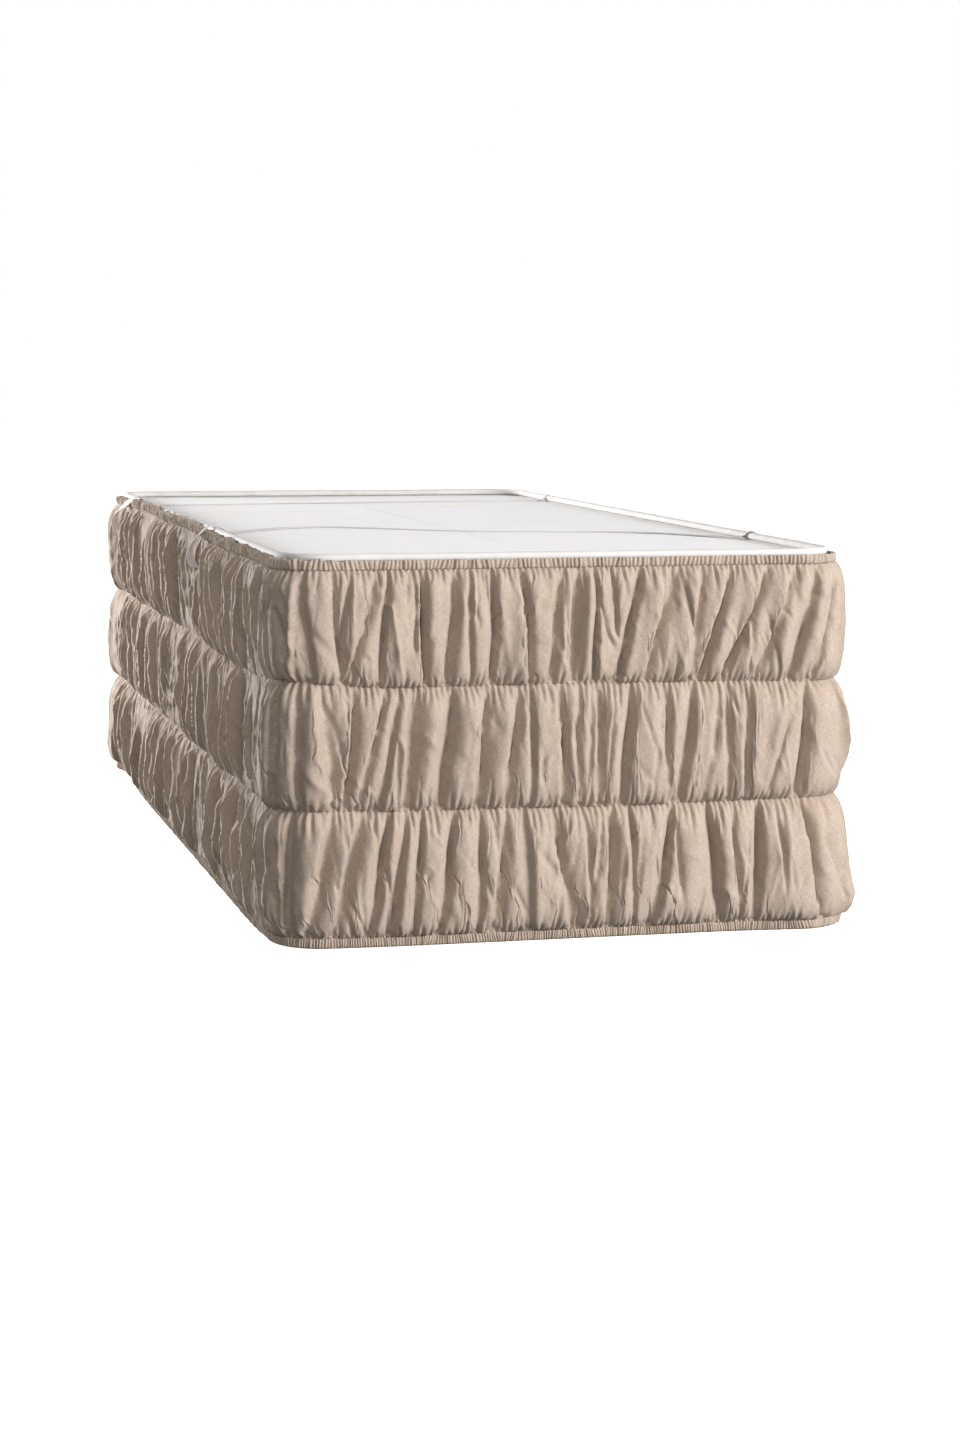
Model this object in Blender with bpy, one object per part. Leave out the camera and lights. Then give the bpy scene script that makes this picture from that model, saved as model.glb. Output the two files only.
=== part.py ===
"""A three-tier gathered bed skirt on the plain bed base that it fits, with its two elastic straps.

Metres, +Z up. The origin is on the floor under the middle of the base. The foot end faces -Y,
the length runs along Y, and the width along X.
"""
import math

import bmesh
import bpy
import numpy as np

# ---- driving dimensions -------------------------------------------------------------------------
BED_WIDTH = 0.900
BED_LENGTH = 2.000
BASE_TOP = 0.594            # height of the flat ticking
CORNER_RADIUS = 0.070       # plan radius that the skirt follows
BASE_CORNER_RADIUS = 0.085  # the base is a little rounder, so the faceted cloth clears it
BASE_CHAMFER = 0.003
CORNER_STEPS = 8
RIM_RADIUS = 0.007          # the piping cord round the top edge
RIM_SIDES = 8

CLOTH = 0.002               # thickness of the gathered cloth
SEAT_GAP = 0.0004           # the shirred lines lie this far off the base
BAND_GAP = 0.0026           # the header and hem bands clear the base's edges by this
BAND_HEIGHT = 0.017
CORNER_EASE = 0.0078        # extra clearance of the lines and bands at the base's corners
EASE_SPREAD = 0.6           # how wide that eases out, as a share of the corner's arc
HEADER_TOP = 0.597
SEAM_HEIGHTS = (0.402, 0.211)
PUFFS = (0.0255, 0.0270, 0.0280)        # how far each tier's ridges stand out from its lines
LINE_OUTS = (0.0, 0.0, 0.002, 0.008)    # how far the header, the seams and the hem hang out
ROW_DROPS = (0.22, 0.78)    # where a tier's two fold rows lie, as shares of its height

STRAP_WIDTH = 0.018
STRAP_THICKNESS = 0.0012
MM = 0.001
SHARP_ANGLE = math.radians(50)

# ---- folds of the foot end ----------------------------------------------------------------------
# One row is one valley between two ridges: where it crosses the tier's upper and lower fold row,
# measured along the foot end from its middle, then its width and its depth. All in millimetres.
FOLD_COLUMNS = ("upper", "lower", "width", "depth")
FRONT_FOLDS = (
    (   # top tier
        (-490, -487, 16, 14), (-412, -404, 24, 6), (-375, -366, 22, 10), (-318, -346, 16, 9),
        (-293, -300, 16, 9), (-239, -235, 14, 14), (-189, -197, 22, 14), (-161, -160, 16, 6),
        (-125, -125, 18, 13), (-77, -68, 16, 13), (-21, -31, 24, 14), (6, 2, 22, 13),
        (40, 39, 14, 11), (105, 84, 22, 13), (153, 127, 18, 15), (208, 196, 24, 9),
        (249, 218, 22, 13), (304, 259, 14, 13), (353, 313, 20, 10), (394, 370, 18, 11),
        (434, 401, 16, 9),
    ),
    (   # middle tier
        (-449, -452, 14, 13), (-421, -419, 18, 7), (-390, -381, 24, 10), (-345, -356, 18, 14),
        (-304, -330, 20, 9), (-278, -298, 18, 7), (-251, -259, 28, 15), (-191, -202, 24, 13),
        (-138, -148, 22, 13), (-89, -101, 14, 14), (-63, -64, 20, 7), (-18, -13, 14, 12),
        (8, 11, 14, 8), (44, 46, 18, 13), (95, 87, 26, 12), (153, 158, 24, 11),
        (197, 186, 26, 13), (255, 256, 18, 9), (287, 286, 16, 12), (384, 376, 24, 15),
        (446, 440, 16, 6),
    ),
    (   # bottom tier
        (-478, -480, 16, 13), (-433, -435, 20, 12), (-384, -404, 22, 12), (-341, -367, 24, 14),
        (-293, -311, 18, 15), (-266, -281, 22, 10), (-239, -246, 14, 9), (-188, -202, 18, 14),
        (-142, -145, 16, 9), (-108, -121, 18, 14), (-71, -64, 26, 7), (-22, -4, 24, 13),
        (24, 32, 16, 5), (65, 62, 20, 14), (100, 104, 20, 9), (163, 142, 22, 13),
        (231, 244, 26, 13), (266, 276, 16, 8), (310, 306, 26, 14), (387, 399, 12, 12),
        (449, 455, 16, 11),
    ),
)
SHOULDER_SHARE = 0.36       # a valley's half width is at most this share of the way to the next
RIDGE_UNEVEN = 0.0015

# ---- folds of the long sides and the head end ---------------------------------------------------
SIDE_FOLD_COUNT = 82        # one ridge and one valley each, from corner to corner round the head
SIDE_START = 0.486          # arc length from the middle of the foot end, on either hand
SIDE_END = 0.506
FRONT_SEED = 70
SIDE_SEED = 7
SIDE_DEPTHS = (0.005, 0.015)
RIDGE_SHARE = 0.25          # where the ridge and the valley lie in one fold's pitch
VALLEY_SHARE = 0.72
RIDGE_SHIFT = 0.12          # how far they stray from there, as shares of the pitch
VALLEY_SHIFT = 0.14
SIDE_LEAN = 0.005           # how far a fold leans either way, in waves along the side
LEAN_STEP = 0.9             # radians of that wave from fold to fold, and from tier to tier
LEAN_TIER_STEP = 2.1

# ---- straps -------------------------------------------------------------------------------------
# Stations along a strap's centre line, in millimetres, then the direction its width points in.
STRAP_COLUMNS = ("x", "y", "z", "across_x", "across_y", "across_z")
FRONT_STRAP = (
    (-483, -283, 539, 0.80, 0.60, 0.00),
    (-488, -279, 547, 0.80, 0.60, 0.00),
    (-491, -282, 558, 0.72, 0.69, 0.00),
    (-489, -290, 571, 0.55, 0.84, 0.00),
    (-482, -299, 584, 0.30, 0.95, 0.00),
    (-472, -306, 595.5, 0.10, 0.99, 0.00),
    (-461, -310, 605, 0.00, 1.00, 0.00),
    (-452, -311, 610, 0.05, 1.00, 0.00),
    (-443, -311, 612, 0.05, 1.00, 0.00),
    (-436, -309, 609, -0.10, 0.99, 0.00),
    (-428, -303, 602.5, -0.30, 0.95, 0.00),
    (-414, -286, 597, -0.60, 0.80, 0.00),
    (-375, -230, 595.3, -0.75, 0.66, 0.00),
    (-310, -165, 595.3, -0.55, 0.84, 0.00),
    (-225, -140, 595.3, 0.15, 0.99, 0.00),
    (-140, -190, 595.3, 0.52, 0.86, 0.00),
    (-50, -265, 595.3, 0.55, 0.83, 0.00),
    (50, -322, 595.3, 0.32, 0.95, 0.00),
    (165, -348, 595.3, 0.15, 0.99, 0.00),
    (270, -365, 595.3, 0.30, 0.95, 0.00),
    (340, -415, 595.6, 0.68, 0.73, 0.00),
    (395, -500, 598.5, 0.80, 0.60, 0.00),
    (424, -555, 604, 0.70, 0.71, 0.00),
    (436, -578, 609, 0.35, 0.94, 0.00),
    (443, -588, 611, 0.10, 0.99, 0.00),
    (449.4, -593, 607.6, 0.00, 1.00, 0.00),
    (451.5, -595, 601, 0.00, 1.00, 0.00),
    (451.5, -596, 584, 0.00, 1.00, 0.00),
)
REAR_STRAP = (
    (-487, 868, 522, 0.00, 0.98, 0.20),
    (-487, 858, 538, 0.00, 0.90, 0.44),
    (-485, 836, 556, 0.00, 0.75, 0.66),
    (-480, 795, 574, 0.00, 0.55, 0.84),
    (-473, 745, 589, 0.00, 0.45, 0.89),
    (-466, 700, 600, 0.10, 0.75, 0.65),
    (-458.5, 665, 606, 0.20, 0.96, 0.20),
    (-450, 648, 609.5, 0.20, 0.98, 0.00),
    (-443, 640, 611, 0.20, 0.98, 0.00),
    (-436.5, 638, 607.8, 0.10, 0.99, 0.00),
    (-430, 637, 602.5, 0.00, 1.00, 0.00),
    (-418, 638, 597, 0.00, 1.00, 0.00),
    (-380, 642, 595.3, -0.10, 0.99, 0.00),
    (-100, 672, 595.3, -0.10, 0.99, 0.00),
    (200, 698, 595.3, -0.10, 0.99, 0.00),
    (418, 710, 597, 0.00, 1.00, 0.00),
    (430, 711, 602.5, 0.00, 1.00, 0.00),
    (436.5, 712, 607.6, 0.00, 1.00, 0.00),
    (443, 712, 610, 0.00, 1.00, 0.00),
    (449.4, 712, 607.2, 0.00, 1.00, 0.00),
    (451.3, 712, 601, 0.00, 1.00, 0.00),
    (451.3, 712, 584, 0.00, 1.00, 0.00),
)

# ---- colours ------------------------------------------------------------------------------------
LINEN_COLOUR = (0.47, 0.375, 0.295)
TICKING_COLOUR = (0.86, 0.85, 0.82)
RIM_COLOUR = (0.80, 0.79, 0.77)
ELASTIC_COLOUR = (0.84, 0.83, 0.86)


def clear_scene():
    for thing in list(bpy.data.objects):
        bpy.data.objects.remove(thing, do_unlink=True)


def make_material(name, colour, roughness):
    material = bpy.data.materials.new(name)
    material.use_nodes = True
    shader = material.node_tree.nodes["Principled BSDF"]
    shader.inputs["Base Color"].default_value = (*colour, 1.0)
    shader.inputs["Roughness"].default_value = roughness
    shader.inputs["Metallic"].default_value = 0.0
    return material


def linen_material():
    return make_material("linen", LINEN_COLOUR, 0.9)


def ticking_material():
    return make_material("ticking", TICKING_COLOUR, 0.85)


def rim_material():
    return make_material("rim_cloth", RIM_COLOUR, 0.8)


def elastic_material(name):
    return make_material(name, ELASTIC_COLOUR, 0.6)


def add_object(name, points, faces, material, smooth):
    mesh = bpy.data.meshes.new(name)
    mesh.from_pydata([tuple(map(float, p)) for p in points], [], faces)
    mesh.validate()
    mesh.materials.append(material)
    thing = bpy.data.objects.new(name, mesh)
    bpy.context.collection.objects.link(thing)
    if smooth:
        mesh.shade_smooth()
        mesh.set_sharp_from_angle(angle=SHARP_ANGLE)
    return thing


# ---- the rounded rectangle that everything follows ----------------------------------------------
def ring_length():
    straights = 2 * (BED_WIDTH + BED_LENGTH) - 8 * CORNER_RADIUS
    return straights + 2 * math.pi * CORNER_RADIUS


def ring_place(along, out):
    """A point `out` metres outside the base's side, `along` metres round from the foot's middle."""
    flat_x = BED_WIDTH / 2 - CORNER_RADIUS
    flat_y = BED_LENGTH / 2 - CORNER_RADIUS
    arc = math.pi / 2 * CORNER_RADIUS
    along = (along + ring_length() / 2) % ring_length() - ring_length() / 2
    mirror = -1.0 if along < 0 else 1.0
    rest = abs(along)
    reach = CORNER_RADIUS + out
    if rest <= flat_x:
        return mirror * rest, -(flat_y + reach)
    rest -= flat_x
    if rest <= arc:
        turn = rest / CORNER_RADIUS
        return mirror * (flat_x + reach * math.sin(turn)), -(flat_y + reach * math.cos(turn))
    rest -= arc
    if rest <= 2 * flat_y:
        return mirror * (flat_x + reach), rest - flat_y
    rest -= 2 * flat_y
    if rest <= arc:
        turn = rest / CORNER_RADIUS
        return mirror * (flat_x + reach * math.cos(turn)), flat_y + reach * math.sin(turn)
    rest -= arc
    return mirror * (flat_x - rest), flat_y + reach


def rounded_outline(half_x, half_y, radius):
    """The corners of a rounded rectangle, counter-clockwise from above."""
    outline = []
    for corner, (sign_x, sign_y) in enumerate(((1, -1), (1, 1), (-1, 1), (-1, -1))):
        for step in range(CORNER_STEPS + 1):
            turn = math.pi / 2 * (corner - 1 + step / CORNER_STEPS)
            outline.append((
                sign_x * (half_x - radius) + radius * math.cos(turn),
                sign_y * (half_y - radius) + radius * math.sin(turn),
            ))
    return outline


# ---- bed base and its piping --------------------------------------------------------------------
def build_base(material):
    """A plain upholstered block, chamfered round its top and bottom."""
    levels = (
        (0.0, BASE_CHAMFER),
        (BASE_CHAMFER, 0.0),
        (BASE_TOP - BASE_CHAMFER, 0.0),
        (BASE_TOP, BASE_CHAMFER),
    )
    points = []
    for height, inset in levels:
        outline = rounded_outline(
            BED_WIDTH / 2 - inset, BED_LENGTH / 2 - inset, BASE_CORNER_RADIUS - inset)
        points += [(x, y, height) for x, y in outline]
    count = len(points) // len(levels)
    faces = [tuple(reversed(range(count)))]
    for level in range(len(levels) - 1):
        low = level * count
        for i in range(count):
            j = (i + 1) % count
            faces.append((low + i, low + j, low + count + j, low + count + i))
    faces.append(tuple(range(len(points) - count, len(points))))
    return add_object("bed_base", points, faces, material, True)


def build_rim(material):
    """A cord that lies on the base all round the edge of its top."""
    apothem = RIM_RADIUS * math.cos(math.pi / RIM_SIDES)
    centre_height = BASE_TOP + SEAT_GAP + apothem
    points = []
    for side in range(RIM_SIDES):
        turn = 2 * math.pi * (side + 0.5) / RIM_SIDES
        inset = RIM_RADIUS - RIM_RADIUS * math.cos(turn)
        outline = rounded_outline(
            BED_WIDTH / 2 - inset, BED_LENGTH / 2 - inset, BASE_CORNER_RADIUS - inset)
        height = centre_height + RIM_RADIUS * math.sin(turn)
        points += [(x, y, height) for x, y in outline]
    count = len(points) // RIM_SIDES
    faces = []
    for side in range(RIM_SIDES):
        for i in range(count):
            j = (i + 1) % count
            low, high = side * count, (side + 1) % RIM_SIDES * count
            faces.append((low + i, low + j, high + j, high + i))
    return add_object("rim_piping", points, faces, material, True)


# ---- gathered skirt -----------------------------------------------------------------------------
def front_stations(tier, row, rng):
    """Each valley of the foot end as two ridge shoulders and a bottom: (along, out) pairs."""
    folds = [dict(zip(FOLD_COLUMNS, fold)) for fold in FRONT_FOLDS[tier]]
    places = [fold[("upper", "lower")[row]] * MM for fold in folds]
    stations = []
    for i, fold in enumerate(folds):
        half = fold["width"] * MM / 2
        for neighbour in (i - 1, i + 1):
            if 0 <= neighbour < len(folds):
                half = min(half, SHOULDER_SHARE * abs(places[neighbour] - places[i]))
        ridge = PUFFS[tier] + RIDGE_UNEVEN * rng.uniform(-1, 1)
        stations.append((places[i] - half, ridge))
        stations.append((places[i], ridge - fold["depth"] * MM))
        stations.append((places[i] + half, ridge))
    return stations


def side_stations(tier):
    """Ridges and valleys of the other three sides, for a tier's upper and lower row."""
    rng = np.random.default_rng(SIDE_SEED + tier)
    pitch = (ring_length() - SIDE_START - SIDE_END) / SIDE_FOLD_COUNT
    rows = ([], [])
    for fold in range(SIDE_FOLD_COUNT):
        ridge_place = fold + RIDGE_SHARE + rng.uniform(-RIDGE_SHIFT, RIDGE_SHIFT)
        valley_place = fold + VALLEY_SHARE + rng.uniform(-VALLEY_SHIFT, VALLEY_SHIFT)
        ridge_at = SIDE_START + pitch * ridge_place
        valley_at = SIDE_START + pitch * valley_place
        depth = rng.uniform(*SIDE_DEPTHS)
        lean = SIDE_LEAN * math.sin(fold * LEAN_STEP + tier * LEAN_TIER_STEP)
        for row, shift in ((0, -lean), (1, lean)):
            ridge = PUFFS[tier] + RIDGE_UNEVEN * rng.uniform(-1, 1)
            rows[row].append((ridge_at + shift, ridge))
            rows[row].append((valley_at + shift, ridge - depth))
    return rows


def tier_rows(tier):
    """A tier's two fold rows round the whole ring, as arrays of (along, out)."""
    rng = np.random.default_rng(FRONT_SEED + tier)
    sides = side_stations(tier)
    return [np.array(front_stations(tier, row, rng) + sides[row]) for row in (0, 1)]


def bump(along, centre, reach):
    """A smooth hump of height 1 at `centre`, measured the short way round the ring."""
    half = ring_length() / 2
    gap = (along - centre + half) % ring_length() - half
    return math.exp(-(gap / reach) ** 2)


def corner_ease(along):
    """The little that a taut line stands off where it turns a corner of the base."""
    flat_x = BED_WIDTH / 2 - CORNER_RADIUS
    flat_y = BED_LENGTH / 2 - CORNER_RADIUS
    arc = math.pi / 2 * CORNER_RADIUS
    foot, head = flat_x + arc / 2, flat_x + arc * 1.5 + 2 * flat_y
    reach = arc * EASE_SPREAD
    return CORNER_EASE * sum(bump(along, s, reach) for s in (-head, -foot, foot, head))


# Where the bands and shirred lines leave their level course: place along the ring, reach, rise.
WANDER_COLUMNS = ("centre", "reach", "rise")
HEADER_WANDER = ((-1.36, 0.26, 0.008), (-1.90, 0.28, 0.008), (0.30, 0.25, 0.001))
SEAM_WANDER = (
    ((-0.45, 0.10, 0.012), (0.47, 0.20, -0.005), (-1.30, 0.30, 0.004), (1.50, 0.40, -0.005)),
    ((-0.44, 0.12, 0.004), (0.10, 0.15, -0.003), (-1.70, 0.35, -0.004), (2.10, 0.50, 0.005)),
)
HEM_RAISE = ((-2.19, 0.15, 0.014),)
HEADER_SLACK = ((-0.95, 0.22, 0.004), (-1.55, 0.30, 0.006), (-2.15, 0.20, 0.004))


def wander(along, humps):
    total = 0.0
    for hump in humps:
        row = dict(zip(WANDER_COLUMNS, hump))
        total += row["rise"] * bump(along, row["centre"], row["reach"])
    return total


def band_rows(alongs, bottom_height, humps, slack, hang):
    """A narrow flat band: its top and bottom rows as (along, out, height)."""
    rows = []
    for height in (bottom_height + BAND_HEIGHT, bottom_height):
        rows.append([
            (s, BAND_GAP + CLOTH + hang + corner_ease(s) + wander(s, slack),
             height + wander(s, humps))
            for s in alongs])
    return rows


def skirt_grid():
    """Rows of (along, out, height), top to bottom, for the outer face of the cloth."""
    tiers = [tier_rows(tier) for tier in range(len(FRONT_FOLDS))]
    header = band_rows(
        tiers[0][0][:, 0], HEADER_TOP - BAND_HEIGHT, HEADER_WANDER, HEADER_SLACK, LINE_OUTS[0])
    hem = band_rows(tiers[-1][1][:, 0], 0.0, HEM_RAISE, (), LINE_OUTS[-1])
    seams = []
    for i, height in enumerate(SEAM_HEIGHTS):
        alongs = (tiers[i][1][:, 0] + tiers[i + 1][0][:, 0]) / 2
        seams.append([
            (s, SEAT_GAP + CLOTH + LINE_OUTS[i + 1] + corner_ease(s),
             height + wander(s, SEAM_WANDER[i]))
            for s in alongs])
    edges = [header[1], *seams, hem[0]]
    rows = list(header)
    for tier, folds in enumerate(tiers):
        top, bottom = edges[tier], edges[tier + 1]
        for fold_row, drop in zip(folds, ROW_DROPS):
            hang = LINE_OUTS[tier] + drop * (LINE_OUTS[tier + 1] - LINE_OUTS[tier])
            rows.append([
                (s, out + hang, high[2] + drop * (low[2] - high[2]))
                for (s, out), high, low in zip(fold_row, top, bottom)])
        rows.append(bottom)
    rows.append(hem[1])
    return np.array(rows)


def grid_normals(grid):
    """Unit normals of a (row, column) grid that closes on itself along its rows."""
    ahead = np.roll(grid, -1, axis=1) - grid
    ahead[:, -1, 0] += ring_length()
    behind = np.roll(ahead, 1, axis=1)
    down = np.zeros_like(grid)
    down[:-1] = grid[1:] - grid[:-1]
    down[-1] = down[-2]
    above = np.roll(down, 1, axis=0)
    above[0] = down[0]
    total = np.zeros_like(grid)
    for side in (ahead, behind):
        for vertical in (down, above):
            face = np.cross(vertical, side)
            total += face / np.linalg.norm(face, axis=2, keepdims=True)
    return total / np.linalg.norm(total, axis=2, keepdims=True)


def taut_rows(row_count):
    """The rows that are drawn tight: the bands' two edges and the lines between the tiers."""
    return [0, *range(1, row_count, len(ROW_DROPS) + 1), row_count - 1]


def inner_grid(grid):
    """The cloth's inner face: the outer one moved in by its thickness, and clear of the base."""
    normals = grid_normals(grid)
    outward = np.sign(normals[:, :, 1:2])
    inner = grid - CLOTH * normals * outward
    taut = taut_rows(len(grid))
    inner[taut] = grid[taut]
    inner[taut, :, 1] -= CLOTH
    inner[:, :, 1] = np.maximum(inner[:, :, 1], SEAT_GAP)
    return inner


def build_skirt(material):
    """One closed ring of cloth: header band, three puffed tiers between shirred lines, hem band."""
    outer = skirt_grid()
    points = []
    for grid in (outer, inner_grid(outer)):
        for along, out, height in grid.reshape(-1, 3):
            x, y = ring_place(along, out)
            points.append((x, y, height))
    row_count, column_count = outer.shape[:2]
    layer = row_count * column_count
    faces = []
    for row in range(row_count - 1):
        for column in range(column_count):
            beside = (column + 1) % column_count
            a, b = row * column_count + column, row * column_count + beside
            c, d = b + column_count, a + column_count
            faces.append((a, d, c, b))
            faces.append((layer + a, layer + b, layer + c, layer + d))
    last = (row_count - 1) * column_count
    for column in range(column_count):
        beside = (column + 1) % column_count
        faces.append((column, beside, layer + beside, layer + column))
        faces.append((last + column, layer + last + column, layer + last + beside, last + beside))
    return add_object("skirt", points, faces, material, True)


# ---- straps -------------------------------------------------------------------------------------
def build_strap(name, stations, material):
    """A flat elastic band swept along its stations."""
    rows = [dict(zip(STRAP_COLUMNS, station)) for station in stations]
    centres = np.array([(row["x"], row["y"], row["z"]) for row in rows], float) * MM
    across = np.array([(row["across_x"], row["across_y"], row["across_z"]) for row in rows])
    across /= np.linalg.norm(across, axis=1, keepdims=True)
    along = np.gradient(centres, axis=0)
    normal = np.cross(along, across)
    normal /= np.linalg.norm(normal, axis=1, keepdims=True)
    half_width = across * STRAP_WIDTH / 2
    half_depth = normal * STRAP_THICKNESS / 2
    corners = (
        centres - half_width - half_depth, centres + half_width - half_depth,
        centres + half_width + half_depth, centres - half_width + half_depth)
    points = np.stack(corners, axis=1).reshape(-1, 3)
    faces = [(0, 1, 2, 3)]
    for i in range(len(stations) - 1):
        for side in range(4):
            beside = (side + 1) % 4
            faces.append((4 * i + side, 4 * i + 4 + side, 4 * i + 4 + beside, 4 * i + beside))
    end = 4 * (len(stations) - 1)
    faces.append((end + 3, end + 2, end + 1, end))
    strap = add_object(name, points, faces, material, False)
    face_out(strap)
    return strap


def face_out(thing):
    work = bmesh.new()
    work.from_mesh(thing.data)
    bmesh.ops.recalc_face_normals(work, faces=work.faces)
    work.to_mesh(thing.data)
    work.free()


def main():
    clear_scene()
    build_base(ticking_material())
    rim = build_rim(rim_material())
    face_out(rim)
    skirt = build_skirt(linen_material())
    face_out(skirt)
    build_strap("strap_front", FRONT_STRAP, elastic_material("elastic_front"))
    build_strap("strap_rear", REAR_STRAP, elastic_material("elastic_rear"))


main()
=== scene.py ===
"""A three-tier gathered linen bed skirt on its bed base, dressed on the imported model's frame.

The folds start from tables and seeded rules, are settled as a mass and spring cloth that is unrolled
along the bed's edge, and are then wrapped round the base. Metres, +Z up.
"""
import math

import bpy
import numpy as np
from mathutils import Matrix, Vector


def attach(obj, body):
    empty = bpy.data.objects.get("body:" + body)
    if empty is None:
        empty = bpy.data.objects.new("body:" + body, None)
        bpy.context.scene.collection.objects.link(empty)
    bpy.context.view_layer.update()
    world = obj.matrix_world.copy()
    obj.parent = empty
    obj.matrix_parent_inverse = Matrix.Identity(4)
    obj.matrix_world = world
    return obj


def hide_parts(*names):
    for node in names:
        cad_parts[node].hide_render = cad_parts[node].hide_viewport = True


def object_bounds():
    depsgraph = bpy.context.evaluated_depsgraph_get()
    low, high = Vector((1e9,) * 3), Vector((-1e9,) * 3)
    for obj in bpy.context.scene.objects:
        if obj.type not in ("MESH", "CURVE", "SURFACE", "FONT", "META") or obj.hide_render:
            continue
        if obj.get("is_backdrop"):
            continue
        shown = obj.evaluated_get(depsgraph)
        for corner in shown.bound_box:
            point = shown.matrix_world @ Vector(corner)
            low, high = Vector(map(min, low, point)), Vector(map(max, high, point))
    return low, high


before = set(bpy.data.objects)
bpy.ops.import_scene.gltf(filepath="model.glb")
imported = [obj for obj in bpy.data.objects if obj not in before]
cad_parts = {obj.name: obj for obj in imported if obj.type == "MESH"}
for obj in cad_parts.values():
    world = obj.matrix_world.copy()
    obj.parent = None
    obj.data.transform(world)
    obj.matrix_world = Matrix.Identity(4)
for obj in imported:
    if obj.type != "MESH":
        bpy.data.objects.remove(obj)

CAD_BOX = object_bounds()
MM = 0.001

# ---- sizes, as in the part's source ----
BED_WIDTH = 0.900
BED_LENGTH = 2.000
BASE_TOP = 0.594
CORNER_RADIUS = 0.070       # plan radius that the skirt follows
BASE_CORNER_RADIUS = 0.078  # less round than in the source, as this cloth isn't faceted
CORNER_EASE = 0.0032        # and so is the clearance of the lines and bands at the corners
RIM_RADIUS = 0.007
RIM_HEIGHT = 0.6009         # of the piping's middle
BAND_HEIGHT = 0.017
HEADER_TOP = 0.597
LINE_HEIGHTS = (0.5825, 0.402, 0.211, 0.016)
TIER_HEIGHTS = tuple(upper - lower for upper, lower in zip(LINE_HEIGHTS, LINE_HEIGHTS[1:]))
STRAP_WIDTH = 0.018
STRAP_THICKNESS = 0.0012

# ---- the gathered cloth ----
PUFFS = (0.0255, 0.0270, 0.0280)        # how far each tier's ridges stand out
LINE_OUTS = (0.0, 0.0, 0.002, 0.008)    # how much further out each line hangs than the header
GATHER = 1.42               # cloth length over the length it is drawn up to
DROP_SLACK = 1.045          # cloth height over the height between two lines
HEADER_FLAT = 0.022         # flat heights of the header and hem bands
HEM_FLAT = 0.021
LINE_OUT = 0.0045           # how far the drawn-up cloth stands off the base
PUCKER_PITCH = 0.0092
PUCKER_RISE = 0.0024
PUCKER_LIFT = 0.0006        # how far a pucker takes its line up and down
PUCKER_REACH = 0.011        # how far from its line a pucker has died away
CELL_ALONG = 0.0032         # the settled cloth's grid
CELL_DOWN = 0.0044
SEEDS = {
    "cloth": 3, "cuts": 7, "puff": 9, "floor": 19, "rim": 21, "header": 31, "hem": 32,
    "creases": 40, "ridges": 60, "reach": 70, "puckers": 300,
}

# One row is one valley: where it crosses the tier at 22 and 78 % of its height, measured along the
# foot end from its middle, then its width and depth. In millimetres.
FOLD_COLUMNS = ("upper", "lower", "width", "depth")
FRONT_FOLDS = (
    (   # top tier
        (-490, -487, 16, 14), (-412, -404, 24, 6), (-375, -366, 22, 10), (-318, -346, 16, 9),
        (-293, -300, 16, 9), (-239, -235, 14, 14), (-189, -197, 22, 14), (-161, -160, 16, 6),
        (-125, -125, 18, 13), (-77, -68, 16, 13), (-21, -31, 24, 14), (6, 2, 22, 13),
        (40, 39, 14, 11), (105, 84, 22, 13), (153, 127, 18, 15), (208, 196, 24, 9),
        (249, 218, 22, 13), (304, 259, 14, 13), (353, 313, 20, 10), (394, 370, 18, 11),
        (434, 401, 16, 9),
    ),
    (   # middle tier
        (-449, -452, 14, 13), (-421, -419, 18, 7), (-390, -381, 24, 10), (-345, -356, 18, 14),
        (-304, -330, 20, 9), (-278, -298, 18, 7), (-251, -259, 28, 15), (-191, -202, 24, 13),
        (-138, -148, 22, 13), (-89, -101, 14, 14), (-63, -64, 20, 7), (-18, -13, 14, 12),
        (8, 11, 14, 8), (44, 46, 18, 13), (95, 87, 26, 12), (153, 158, 24, 11),
        (197, 186, 26, 13), (255, 256, 18, 9), (287, 286, 16, 12), (384, 376, 24, 15),
        (446, 440, 16, 6),
    ),
    (   # bottom tier
        (-478, -480, 16, 13), (-433, -435, 20, 12), (-384, -404, 22, 12), (-341, -367, 24, 14),
        (-293, -311, 18, 15), (-266, -281, 22, 10), (-239, -246, 14, 9), (-188, -202, 18, 14),
        (-142, -145, 16, 9), (-108, -121, 18, 14), (-71, -64, 26, 7), (-22, -4, 24, 13),
        (24, 32, 16, 5), (65, 62, 20, 14), (100, 104, 20, 9), (163, 142, 22, 13),
        (231, 244, 26, 13), (266, 276, 16, 8), (310, 306, 26, 14), (387, 399, 12, 12),
        (449, 455, 16, 11),
    ),
)
FOLD_ROWS = (0.22, 0.78)

# Creases drawn one by one: tier, the place along the foot end and the share of the tier's height
# where the crease starts and ends, its half width and its rise (a hollow is below 0). Millimetres.
CREASE_COLUMNS = ("tier", "start", "from_share", "end", "to_share", "half_width", "rise")
FRONT_CREASES = (
    (0, -424, 0.02, -427, 0.98, 3.6, 8.0),
    (0, -346, 0.05, -350, 0.95, 3.5, 3.0),
    (0, -294, 0.08, -270, 0.92, 3.5, 4.0),
    (0, -256, 0.30, -272, 0.55, 4.0, -4.0),
    (0, -284, 0.70, -262, 0.60, 4.0, 3.0),
    (1, -353, 0.58, -364, 1.00, 3.0, 5.0),
    (1, -291, 0.12, -329, 0.74, 3.5, 4.5),
    (1, -49, 0.46, -49, 0.78, 5.0, -5.0),
    (2, -139, 0.62, -120, 0.92, 3.5, 4.0),
)

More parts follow.
